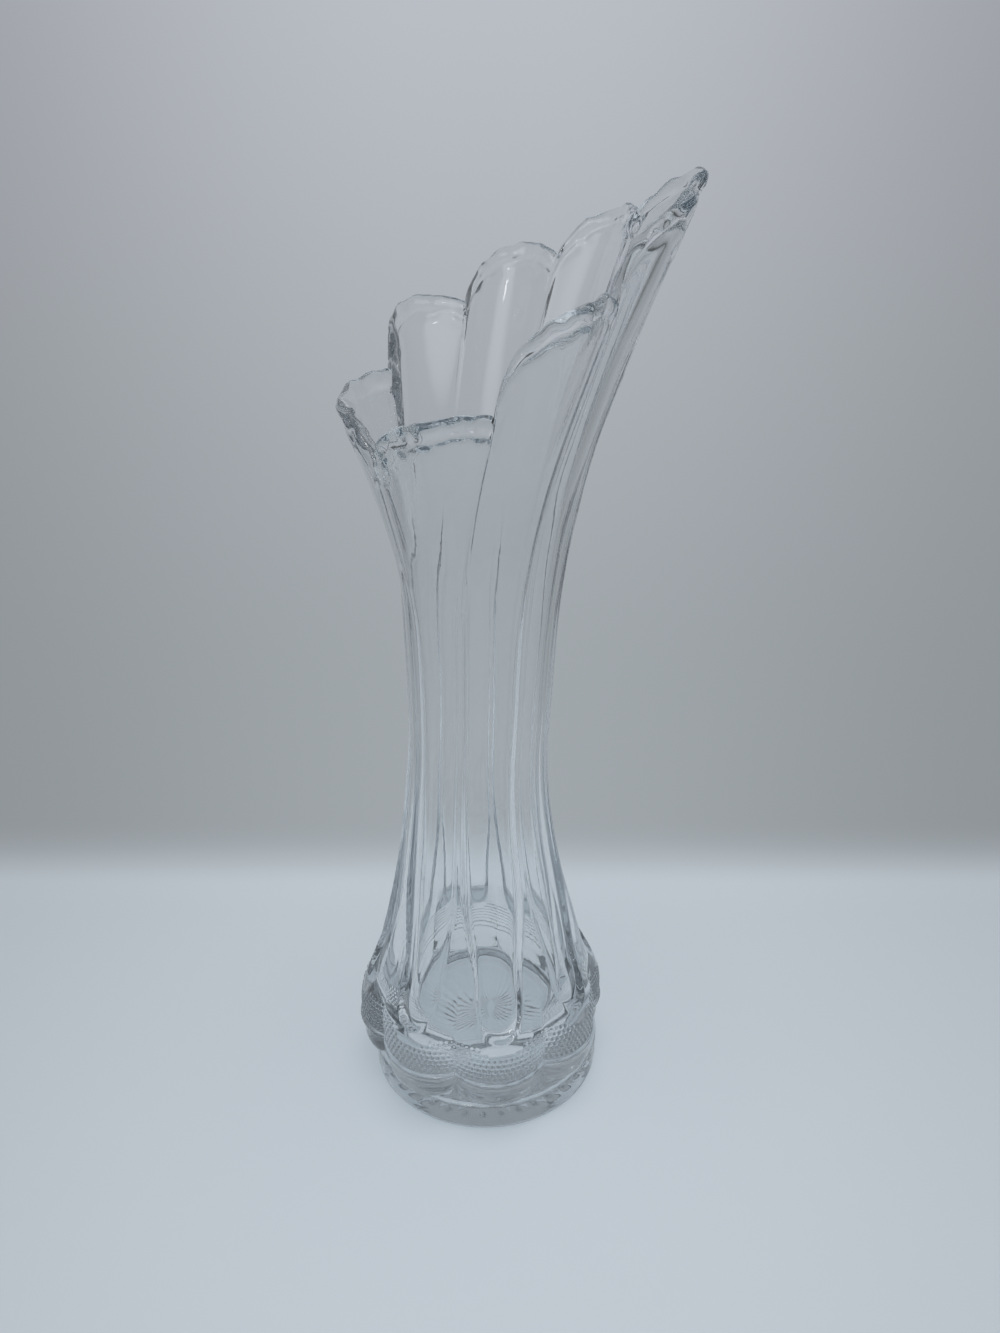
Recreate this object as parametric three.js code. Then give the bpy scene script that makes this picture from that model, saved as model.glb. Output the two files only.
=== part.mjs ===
// Swung vase of clear pressed glass, made in one piece: a round foot, eight lobes with a rolled lower edge and
// a row of beads, eight long flutes between narrow ribs, and a leaning mouth of eight petals round an open well.
// Millimetres, +Z up. It stands on z = 0, with the middle of the underside at the origin.

import * as THREE from 'three';

// Mouth. How far each rib ends above the waist
const frontRibRise = 129.5;
const frontRightRibRise = 161;
const rightRibRise = 176;
const backRightRibRise = 184;
const backRibRise = 173;
const backLeftRibRise = 157;
const leftRibRise = 135;
const frontLeftRibRise = 106;

// How far the petal after each rib stands over the line from that rib's end to the next one's
const frontPetalRise = 16;
const frontRightPetalRise = 22;
const rightPetalRise = 20;
const backRightPetalRise = 11.5;
const backPetalRise = 12;
const backLeftPetalRise = 12.5;
const leftPetalRise = 9.5;
const frontLeftPetalRise = 9;

// How far the petal after each rib reaches out from the middle of the mouth
const frontPetalReach = 63.5;
const frontRightPetalReach = 62.5;
const rightPetalReach = 64.5;
const backRightPetalReach = 62;
const backPetalReach = 62.5;
const backLeftPetalReach = 62.5;
const leftPetalReach = 61.5;
const frontLeftPetalReach = 61.5;

// The ribs' ends in order, with their angles in degrees from the front (-Y) round towards +X
const mouthRibs = [
  { angle: -7, rise: frontRibRise, petalRise: frontPetalRise, reach: frontPetalReach },
  { angle: 37, rise: frontRightRibRise, petalRise: frontRightPetalRise, reach: frontRightPetalReach },
  { angle: 78, rise: rightRibRise, petalRise: rightPetalRise, reach: rightPetalReach },
  { angle: 118, rise: backRightRibRise, petalRise: backRightPetalRise, reach: backRightPetalReach },
  { angle: 160, rise: backRibRise, petalRise: backPetalRise, reach: backPetalReach },
  { angle: 201, rise: backLeftRibRise, petalRise: backLeftPetalRise, reach: backLeftPetalReach },
  { angle: 243, rise: leftRibRise, petalRise: leftPetalRise, reach: leftPetalReach },
  { angle: 294, rise: frontLeftRibRise, petalRise: frontLeftPetalRise, reach: frontLeftPetalReach },
];
const mouthLean = 12.6;
const ribMouthRadius = 51.3;
const petalRoundness = 0.65;
const petalBow = 1.5;
const petalSkewLength = 100;

// Foot, and the neck between the foot and the lobes
const footRadius = 49;
const footHeight = 12.5;
const footEdge = 1.5;
const neckInset = 1.8;
const neckRise = 1.2;

// Lobes above the neck, with their rolled edge, which is deepest in the middle of a lobe
const rollMiddleRise = 13.4;
const rollRibRise = 14.6;
const rollRibRadius = 46.6;
const rollMiddleDepth = 12.8;
const rollRibDepth = 6.5;
const rollNotch = 4;
const rollFullness = 0.3;
const rollBulge = 0.3;
const lobeRise = 46.3;
const lobeDepth = 5.4;
const lobeCurve = 0.9;

// Beads in a row above the rolled edge
const beadsPerPanel = 18;
const beadRise = 2.9;
const beadHalfHeight = 1.1;
const beadHeight = 0.75;

// Body, measured over the ribs. Its middle stands a little to the left and the front of the foot's
const bodyShiftLeft = 1.8;
const bodyShiftForward = 1.5;
const shoulderRise = 32.3;
const shoulderRadius = 46.9;
const waistRise = 111;
const waistRadius = 27.9;
const bodyCurve = 1.65;
const neckTaper = 0.032;
const waistDrift = 1.3;
const driftRise = 85;
const driftLength = 121;

// Flare from the body to the mouth, with its lowest start on the side the mouth leans to
const lowFlareRise = 4.5;
const highFlareRise = 40;
const flareCurve = 1.62;
const flareTurn = 0.72;

// Flutes. Their widths are shares of the panel between two ribs
const firstRibAngle = -12.2;
const fluteEndRise = 16.5;
const fluteEndLength = 17;
const fluteEndRoundness = 2.2;
const fluteEndShare = 0.55;
const fluteTopShare = 0.91;
const fluteSpread = 45;
const fluteHollow = 0.5;
const fluteBevel = 5;
const shoulderFluteDepth = 3.8;
const waistFluteDepth = 2.2;
const fluteCurve = 1.2;
const fluteFadeStart = 0.1;
const fluteFadeEnd = 0.7;

// Glass thickness
const lipThickness = 5.5;
const lipHeight = 4.5;
const floorThickness = 22;
const footWall = 13;
const shoulderWall = 9.5;
const waistWall = 4.3;
const wallCurve = 1.4;
const floorCornerRadius = 12;

// Fineness of the faceted skin
const rollRows = 5;
const lobeRows = 3;
const fluteEndRows = 4;
const bodyRows = 7;
const flareRows = 9;
const lipRows = 4;
const cornerRows = 6;

const clamp = THREE.MathUtils.clamp;
const lerp = THREE.MathUtils.lerp;
const smoothstep = THREE.MathUtils.smoothstep;
const radians = THREE.MathUtils.degToRad;

const panelCount = mouthRibs.length;
const panelPitch = 360 / panelCount;
const neckRadius = footRadius - neckInset;
const neckHeight = footHeight + neckRise;
const shoulderHeight = neckHeight + shoulderRise;
const fluteEndHeight = shoulderHeight + fluteEndRise;
const waistHeight = shoulderHeight + waistRise;
const lipRadius = lipThickness / 2;
const wellFoot = floorThickness + floorCornerRadius;

// The radius runs on below the shoulder with the slope that it has there, and tucks in to the roll's radius
const shoulderSlope = (bodyCurve * (shoulderRadius - waistRadius)) / waistRise;
const tuckDrop = shoulderRise - rollRibRise;
const tuck = (shoulderRadius + shoulderSlope * tuckDrop - rollRibRadius) / tuckDrop ** 2;

// Columns of the skin across a panel, with one on each edge of a flute
const fluteMiddleShare = fluteEndShare / 2;
const landShare = (fluteEndShare + fluteTopShare) / 2;
const halfColumns = [fluteMiddleShare, fluteEndShare, landShare, fluteTopShare];
const columnShares = [-1, ...halfColumns.map((share) => -share).reverse(), 0, ...halfColumns];

// Columns of the bead row across a panel, one on each bead and one between each two
const beadColumns = 2 * beadsPerPanel;
const beadShares = Array.from({ length: beadColumns }, (_, index) => (2 * index) / beadColumns - 1);

// Where a meridian stands: its share of the half panel, from -1 at one rib to 1 at the next, its place
// round the vase in panels, and its ends
function meridian(panel, share) {
  const across = (share + 1) / 2;
  const angle = radians(firstRibAngle + (panel + across) * panelPitch);
  return { share, angle, place: panel + across, mouth: mouthEnd(panel, across, angle) };
}

// Meridians of a whole ring, with the same shares in each panel
function ringLines(shares) {
  const panels = Array.from({ length: panelCount }, (_, panel) => panel);
  return panels.flatMap((panel) => shares.map((share) => meridian(panel, share)));
}

// Angle, height and outer radius of the lip where a meridian ends
function mouthEnd(panel, across, footAngle) {
  const from = mouthRibs[panel];
  const to = mouthRibs[(panel + 1) % panelCount];
  const turn = (to.angle - from.angle + 360) % 360;
  const angle = radians(from.angle + turn * across);
  const fullTurn = 2 * Math.PI;
  const climb = from.rise < to.rise ? across : 1 - across;
  const skew = 1 - Math.abs(to.rise - from.rise) / petalSkewLength;
  const arch = Math.sin(Math.PI * climb ** skew) ** petalRoundness;
  return {
    angle: angle + fullTurn * Math.round((footAngle - angle) / fullTurn),
    height: waistHeight + lerp(from.rise, to.rise, across) + from.petalRise * arch,
    radius: lerp(ribMouthRadius, from.reach, Math.sin(Math.PI * across) ** petalBow),
  };
}

// Radius over the ribs. It narrows from the shoulder to the waist and tucks in under the shoulder
function ribRadius(height) {
  if (height < shoulderHeight) {
    const below = shoulderHeight - height;
    return shoulderRadius + shoulderSlope * below - tuck * below ** 2;
  }
  const down = clamp((waistHeight - height) / waistRise, 0, 1);
  const taper = neckTaper * Math.max(height - waistHeight, 0);
  return lerp(waistRadius, shoulderRadius, down ** bodyCurve) + taper;
}

// How far a lobe bulges outside the ribs
function lobeBulge(share, height) {
  const below = Math.max(neckHeight + lobeRise - height, 0);
  const down = below / (lobeRise - rollMiddleRise);
  return lobeDepth * down ** lobeCurve * (1 - share ** 2);
}

// How deep the flute is cut, with a round lower end
function fluteDepth(share, height) {
  const spread = smoothstep(height, fluteEndHeight, fluteEndHeight + fluteSpread);
  const halfWidth = lerp(fluteEndShare, fluteTopShare, spread);
  const below = Math.max(fluteEndHeight - height, 0) / fluteEndLength;
  const outline = Math.min((share / halfWidth) ** 2 + below ** fluteEndRoundness, 1);
  const inside = lerp(1 - outline ** fluteBevel, 1 - outline, fluteHollow);
  const down = clamp((waistHeight - height) / (waistHeight - fluteEndHeight), 0, 1);
  return lerp(waistFluteDepth, shoulderFluteDepth, down ** fluteCurve) * inside;
}

// Height of the top of the rolled edge
function rollHeight(share) {
  return neckHeight + lerp(rollMiddleRise, rollRibRise, share ** 2);
}

// Share of the flare that a height has reached on its meridian, and the swell of the wall there
function flareAt(line, height) {
  const lean = (1 + Math.sin(line.mouth.angle)) / 2;
  const start = waistHeight + lerp(highFlareRise, lowFlareRise, lean);
  const share = clamp((height - start) / (line.mouth.height - start), 0, 1);
  const turn = Math.PI * flareTurn;
  return { share, swell: (1 - Math.cos(turn * share ** flareCurve)) / (1 - Math.cos(turn)) };
}

// How far the middle of the body and the mouth lies along X at a height
function centreAt(height, swell) {
  const along = clamp((height - shoulderHeight - driftRise) / driftLength, -0.5, 0.5);
  return mouthLean * swell - bodyShiftLeft - waistDrift * Math.cos(Math.PI * along) ** 2;
}

// Point on a meridian, from the radius of the straight body and the inset from the outer lip
function wallPoint(line, height, bodyRadius, lipInset) {
  const flare = flareAt(line, height);
  const radius = lerp(bodyRadius, line.mouth.radius - lipInset, flare.swell);
  const angle = lerp(line.angle, line.mouth.angle, smoothstep(flare.share, 0, 1));
  const point = new THREE.Vector3(radius * Math.sin(angle), -radius * Math.cos(angle), height);
  return point.add(new THREE.Vector3(centreAt(height, flare.swell), -bodyShiftForward, 0));
}

function outerPoint(line, height, lipInset = 0) {
  const fade = 1 - smoothstep(flareAt(line, height).share, fluteFadeStart, fluteFadeEnd);
  const flute = fluteDepth(line.share, height) * fade;
  const radius = ribRadius(height) + lobeBulge(line.share, height) - flute;
  return wallPoint(line, height, radius - lipInset, lipInset);
}

// Glass thickness under the ribs at a height
function wallThickness(height) {
  if (height < shoulderHeight) {
    const down = (shoulderHeight - height) / (shoulderHeight - floorThickness);
    return lerp(shoulderWall, footWall, clamp(down, 0, 1));
  }
  const down = clamp((waistHeight - height) / waistRise, 0, 1);
  return lerp(waistWall, shoulderWall, down ** wallCurve);
}

function innerPoint(line, height) {
  return wallPoint(line, height, ribRadius(height) - wallThickness(height), lipThickness);
}

// Point on the round edge between the wall of the well and its floor, from 0 at the wall to 1 at the floor
function cornerPoint(line, step) {
  const sweep = (step * Math.PI) / 2;
  const inward = floorCornerRadius * (1 - Math.cos(sweep));
  const height = floorThickness + floorCornerRadius * (1 - Math.sin(sweep));
  return bodyPoint(line, ribRadius(wellFoot) - wallThickness(wellFoot) - inward, height);
}

// Point on the round section of the lip, from 0 on the outer side over 0.5 on top to 1 on the inner side
function lipPoint(line, step) {
  const sweep = step * Math.PI;
  const height = line.mouth.height - lipHeight * (1 - Math.sin(sweep));
  return outerPoint(line, height, lipRadius * (1 - Math.cos(sweep)));
}

// Point of a round ring about the middle of the foot
function ringPoint(line, radius, height) {
  return new THREE.Vector3(radius * Math.sin(line.angle), -radius * Math.cos(line.angle), height);
}

// Point of a ring about the middle of the lower body
function bodyPoint(line, radius, height) {
  return ringPoint(line, radius, height).add(new THREE.Vector3(-bodyShiftLeft, -bodyShiftForward, 0));
}

// Point on the rolled edge, from 0 at its foot over its fullest radius at 0.5 to 1 at its top
function rollPoint(line, step) {
  const top = rollHeight(line.share);
  const topRadius = ribRadius(top) + lobeBulge(line.share, top);
  const fullest = topRadius + rollBulge * (1 - line.share ** 2);
  const depth = lerp(rollMiddleDepth, rollRibDepth, line.share ** rollNotch);
  const height = top - depth * (1 - step);
  if (step < 0.5) {
    const swell = Math.sin(step * Math.PI) ** rollFullness;
    return bodyPoint(line, lerp(neckRadius, fullest, swell), height);
  }
  return bodyPoint(line, lerp(fullest, topRadius, step * 2 - 1), height);
}

// Point on the row of beads, at a rise above the rolled edge. Beads stand out only on its middle ring
function beadPoint(line, rise, column) {
  const height = rollHeight(line.share) + rise;
  const onBead = rise === beadRise && column % 2 === 1;
  const radius = ribRadius(height) + lobeBulge(line.share, height);
  return bodyPoint(line, onBead ? radius + beadHeight : radius, height);
}

// Rings at the middles of even steps between two heights, which may differ from meridian to meridian
function wallRings(count, pointAt, fromHeight, toHeight) {
  return Array.from({ length: count }, (_, index) => (line) => {
    const along = (index + 0.5) / count;
    return pointAt(line, lerp(fromHeight(line), toHeight(line), along));
  });
}

// Rings of a rounded edge, whose points run from one step to 1
function edgeRings(count, pointAt, firstIndex) {
  return Array.from({ length: count + 1 - firstIndex }, (_, index) => (line) => {
    return pointAt(line, (index + firstIndex) / count);
  });
}

// Rings of the skin in order, from the underside up the outside, over the lip and down the well
function skinRings() {
  const beadTop = (line) => rollHeight(line.share) + beadRise + beadHalfHeight;
  const fluteFoot = () => fluteEndHeight - fluteEndLength;
  const fluteEnd = () => fluteEndHeight;
  const waist = () => waistHeight;
  const lipFoot = (line) => line.mouth.height - lipHeight;
  const wellEnd = () => wellFoot;
  const lines = ringLines(columnShares);
  const beadLines = ringLines(beadShares);
  const beadRises = [beadRise - beadHalfHeight, beadRise, beadRise + beadHalfHeight];
  const lowRings = [
    (line) => ringPoint(line, footRadius - footEdge, 0),
    (line) => ringPoint(line, footRadius, footEdge),
    (line) => ringPoint(line, footRadius, footHeight - footEdge),
    (line) => ringPoint(line, footRadius - footEdge, footHeight),
    (line) => ringPoint(line, neckRadius, neckHeight),
    ...edgeRings(rollRows, rollPoint, 1),
  ];
  const beadRings = beadRises.map((rise) => (line, column) => beadPoint(line, rise, column));
  const highRings = [
    ...wallRings(lobeRows, outerPoint, beadTop, fluteFoot),
    ...wallRings(fluteEndRows, outerPoint, fluteFoot, fluteEnd),
    ...wallRings(bodyRows, outerPoint, fluteEnd, waist),
    ...wallRings(flareRows, outerPoint, waist, lipFoot),
    ...edgeRings(lipRows, lipPoint, 0),
    ...wallRings(flareRows, innerPoint, lipFoot, waist),
    ...wallRings(bodyRows, innerPoint, waist, wellEnd),
    ...edgeRings(cornerRows, cornerPoint, 0),
  ];
  return [
    ...lowRings.map((pointAt) => ({ lines, pointAt })),
    ...beadRings.map((pointAt) => ({ lines: beadLines, pointAt })),
    ...highRings.map((pointAt) => ({ lines, pointAt })),
  ];
}

// Faces of the band between two rings, which may have different numbers of points
function bandFaces(low, high) {
  const faces = [];
  const pointOf = (ring, step) => ring.start + (step % ring.lines.length);
  const placeOf = (ring, step) => (step < ring.lines.length ? ring.lines[step].place : panelCount);
  let lowStep = 0;
  let highStep = 0;
  while (lowStep < low.lines.length || highStep < high.lines.length) {
    const lowLeft = lowStep < low.lines.length;
    const highDone = highStep === high.lines.length;
    const lowPoint = pointOf(low, lowStep);
    const highPoint = pointOf(high, highStep);
    if (highDone || (lowLeft && placeOf(low, lowStep + 1) <= placeOf(high, highStep + 1))) {
      lowStep += 1;
      faces.push(lowPoint, pointOf(low, lowStep), highPoint);
    } else {
      highStep += 1;
      faces.push(lowPoint, pointOf(high, highStep), highPoint);
    }
  }
  return faces;
}

// Faces from a middle point to a ring round it
function discFaces(middle, ring) {
  return ring.lines.flatMap((_, step) => {
    return [middle, ring.start + step, ring.start + ((step + 1) % ring.lines.length)];
  });
}

// Closed skin through the rings, with a middle point on the underside and one on the floor of the well
function closedSkin(rings) {
  const points = [];
  const placed = rings.map(({ lines, pointAt }) => {
    const start = points.length;
    points.push(...lines.map((line, column) => pointAt(line, column)));
    return { lines, start };
  });
  const underside = points.length;
  const wellFloor = underside + 1;
  points.push(new THREE.Vector3(0, 0, 0));
  points.push(new THREE.Vector3(-bodyShiftLeft, -bodyShiftForward, floorThickness));
  const faces = [
    ...discFaces(underside, placed[0]).reverse(),
    ...placed.slice(1).flatMap((ring, index) => bandFaces(placed[index], ring)),
    ...discFaces(wellFloor, placed[placed.length - 1]),
  ];
  const skin = new THREE.BufferGeometry().setFromPoints(points);
  skin.setIndex(faces);
  skin.computeVertexNormals();
  return skin;
}

// The whole vase, in clear glass
function makeVase() {
  const clearGlass = new THREE.MeshStandardMaterial({
    color: 0xdde5e8,
    roughness: 0.05,
    metalness: 0,
    transparent: true,
    opacity: 0.35,
  });
  const vase = new THREE.Mesh(closedSkin(skinRings()), clearGlass);
  vase.name = 'vase_body';
  return vase;
}

const object = new THREE.Group();
object.add(makeVase());

export default object;
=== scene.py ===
"""Swung glass vase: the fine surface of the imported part, its glass, and a plain stage for it.

Lengths are metres and angles are degrees, unless a name says otherwise.
"""

import logging
import math
from dataclasses import dataclass, field
from enum import Enum

import bpy
import numpy as np
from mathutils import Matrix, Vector


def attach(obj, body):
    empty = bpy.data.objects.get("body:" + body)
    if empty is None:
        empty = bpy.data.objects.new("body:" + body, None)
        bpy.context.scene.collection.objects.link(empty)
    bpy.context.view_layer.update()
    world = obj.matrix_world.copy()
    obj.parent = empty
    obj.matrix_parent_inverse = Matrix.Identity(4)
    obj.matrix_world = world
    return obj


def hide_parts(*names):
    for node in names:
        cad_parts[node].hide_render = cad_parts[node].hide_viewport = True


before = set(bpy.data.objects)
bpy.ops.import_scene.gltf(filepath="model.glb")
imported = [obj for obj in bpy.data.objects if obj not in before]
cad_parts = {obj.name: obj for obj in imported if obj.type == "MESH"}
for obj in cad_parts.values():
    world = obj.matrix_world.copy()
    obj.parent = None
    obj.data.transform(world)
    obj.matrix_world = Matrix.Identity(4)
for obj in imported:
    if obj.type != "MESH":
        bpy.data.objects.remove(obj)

log = logging.getLogger("vase")

FULL_TURN = 2 * math.pi
QUARTER_TURN = math.pi / 2
GLASS_BOUNCES = 48
CLEAR_BOUNCES = 24

Number = np.ndarray | float
Span = tuple[float, float]
Triple = tuple[float, float, float]
Colour = tuple[float, float, float]


class Fineness(Enum):
    """How many columns of faces a ring of the skin has across each panel."""

    HUB = 12
    COARSE = 24
    MEDIUM = 48
    BEADED = 96


def lerp(start: Number, end: Number, share: Number) -> Number:
    """Value between start and end at a share of the way."""
    return start + (end - start) * share


def smoothstep(value: Number, low: float, high: float) -> Number:
    """Smooth rise from 0 at low to 1 at high."""
    share = np.clip((value - low) / (high - low), 0, 1)
    return share * share * (3 - 2 * share)


def stand(name: str, data: bpy.types.ID) -> bpy.types.Object:
    """New object in the scene.

    Args:
        name: Its name.
        data: Its mesh, lamp or camera.

    Returns:
        The object.
    """
    thing = bpy.data.objects.new(name, data)
    bpy.context.scene.collection.objects.link(thing)
    return thing


@dataclass(frozen=True)
class Rows:
    """How many rings the skin has on each stretch of the vase.

    Body crowding is the power that draws the body's rings together low down.
    """

    star: int = 17
    foot_rim: int = 5
    foot_edge: int = 6
    neck: int = 5
    roll: int = 10
    roll_top: int = 6
    ledge: int = 4
    lobes: int = 47
    body: int = 34
    body_crowding: float = 1.6
    mouth: int = 20
    under_lip: int = 9
    lip: int = 9
    well: int = 24
    corner: int = 9


@dataclass(frozen=True)
class Foot:
    """Round foot, and the neck between it and the lobes."""

    radius: float = 0.049
    height: float = 0.0125
    edge: float = 0.0015
    neck_inset: float = 0.0018
    neck_rise: float = 0.0012

    @property
    def neck_radius(self) -> float:
        """Radius of the neck."""
        return self.radius - self.neck_inset

    @property
    def neck_height(self) -> float:
        """Height of the neck's narrowest ring."""
        return self.height + self.neck_rise


@dataclass(frozen=True)
class Lobes:
    """Scalloped lobes above the neck, with their rolled lower edge. Rises are counted from the neck.

    The roll reaches down by its depth. Notch, fullness and curve are the powers that shape that depth
    towards the ribs, the roll's section and the lobe's bulge. The roll's lip is how far it stands out
    from the band of beads above it.
    """

    roll_middle_rise: float = 0.0134
    roll_rib_rise: float = 0.0146
    roll_rib_radius: float = 0.0466
    roll_middle_depth: float = 0.0128
    roll_rib_depth: float = 0.0065
    roll_notch: float = 4
    roll_fullness: float = 0.3
    roll_bulge: float = 0.0003
    rise: float = 0.0463
    depth: float = 0.0054
    curve: float = 0.9
    roll_lip: float = 0.0017

    @property
    def ledge_height(self) -> float:
        """How far the ledge's round top stands above the roll."""
        return self.roll_lip / 2


@dataclass(frozen=True)
class Body:
    """Swung body, measured over its ribs. It stands a little off the middle of the foot.

    The shoulder's rise is counted from the neck, and the others from the shoulder. Taper is what the
    radius gains in a metre above the waist, and the drift is a long slight bow to the left.
    """

    shift_left: float = 0.0018
    shift_forward: float = 0.0015
    shoulder_rise: float = 0.0323
    shoulder_radius: float = 0.0469
    waist_rise: float = 0.111
    waist_radius: float = 0.0279
    curve: float = 1.65
    taper: float = 0.032
    drift: float = 0.0013
    drift_rise: float = 0.085
    drift_length: float = 0.121


@dataclass(frozen=True)
class Flutes:
    """Long hollows between the ribs. Widths are shares of a panel.

    The round lower end hangs from its rise over the shoulder, and above it the flute widens over the
    spread. Its section goes from flat with bevelled sides to plain round, as hollow goes from 0 to 1.
    It fades out between two shares of the mouth's flare.
    """

    end_rise: float = 0.0165
    end_length: float = 0.017
    end_roundness: float = 2.2
    end_share: float = 0.55
    top_share: float = 0.91
    spread: float = 0.045
    hollow: float = 0.35
    bevel: float = 7
    shoulder_depth: float = 0.0038
    waist_depth: float = 0.0020
    curve: float = 1.2
    fade_start: float = 0.1
    fade_end: float = 0.7


@dataclass(frozen=True)
class Beads:
    """Rows of small beads that follow the rolled edge, below and between the flutes.

    A bead keeps clear of the flutes by a margin, which is 1 on a flute's outline. Girth is the beaded
    band's radius as a share of the roll's, and slope how far apart the rows lie in height.
    """

    a_panel: int = 18
    rows: int = 7
    full_rows: int = 3
    first_row: float = 0.0029
    row_pitch: float = 0.0022
    low_radius: float = 0.0010
    low_height: float = 0.0007
    radius: float = 0.0009
    height: float = 0.00045
    roundness: float = 0.75
    girth: float = 1.06
    slope: float = 1.05
    middle_margin: float = 1.9
    rib_margin: float = 1.45
    low_margin: float = 1.25
    room_start: float = 0.98
    room_end: float = 0.99


@dataclass(frozen=True)
class Star:
    """Star of grooves pressed into the underside. Its hub shares place the two plain rings inside it."""

    rays: int = 32
    inner_radius: float = 0.003
    outer_radius: float = 0.037
    depth: float = 0.0006
    taper: float = 0.55
    hub_shares: Span = (0.4, 0.7)


@dataclass(frozen=True)
class MouthRib:
    """Where a rib ends at the mouth, and the petal from it to the next rib."""

    angle: float
    rise: float
    petal_rise: float
    petal_radius: float


@dataclass(frozen=True)
class Mouth:
    """Leaning mouth of uneven petals. Rises are counted from the waist.

    A petal's top leans towards the lower of its two ribs, by their difference as a share of the skew
    length. The flare starts lower on the right than on the left, and its section follows the flare's
    turn as a part of a half wave.
    """

    lean: float = 0.0126
    rib_radius: float = 0.0513
    petal_roundness: float = 0.65
    petal_bow: float = 1.5
    skew_length: float = 0.100
    low_flare_rise: float = 0.0045
    high_flare_rise: float = 0.040
    flare_curve: float = 1.62
    flare_turn: float = 0.72
    ripple_height: float = 0.0002
    ripples: int = 5
    lump_height: float = 0.0018
    lumps_a_metre: Triple = (140.0, 140.0, 100.0)
    ribs: tuple[MouthRib, ...] = (
        MouthRib(-7, 0.1295, 0.016, 0.0635),
        MouthRib(37, 0.161, 0.022, 0.0625),
        MouthRib(78, 0.176, 0.020, 0.0645),
        MouthRib(118, 0.184, 0.0115, 0.062),
        MouthRib(160, 0.173, 0.012, 0.0625),
        MouthRib(201, 0.157, 0.0125, 0.0625),
        MouthRib(243, 0.135, 0.0095, 0.0615),
        MouthRib(294, 0.106, 0.009, 0.0615),
    )


@dataclass(frozen=True)
class Wall:
    """Thickness of the glass, and how uneven its sides are.

    The groove runs along both sides of the wall, at its drop below the lip's round section. The lip's
    fine rows and its lumps have a reach of their own below it. Sides apart is how unlike each other the
    waves on the two sides are.
    """

    lip: float = 0.0055
    lip_height: float = 0.0036
    lip_fine: float = 0.010
    lip_reach: float = 0.012
    groove_depth: float = 0.0009
    groove_drop: float = 0.0026
    groove_width: float = 0.0016
    floor: float = 0.022
    foot: float = 0.013
    shoulder: float = 0.0095
    waist: float = 0.0043
    curve: float = 1.4
    corner: float = 0.012
    floor_shares: Triple = (0.75, 0.5, 0.3)
    floor_hub_share: float = 0.15
    wave_height: float = 0.0006
    wave_rise: float = 0.13
    body_wave_share: float = 0.15
    waves_a_metre: Triple = (65.0, 65.0, 26.0)
    sides_apart: float = 4.0


@dataclass
class Ring:
    """One closed ring of points on the skin, with what the relief needs to know at each point."""

    points: np.ndarray
    values: dict[str, np.ndarray]

    @property
    def columns(self) -> int:
        """Number of points in the ring."""
        return len(self.points)


@dataclass
class Meridians:
    """Lines up the vase, one for each column of a ring."""

    share: np.ndarray
    angle: np.ndarray
    mouth_angle: np.ndarray
    mouth_height: np.ndarray
    mouth_radius: np.ndarray
    petal_run: np.ndarray


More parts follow.
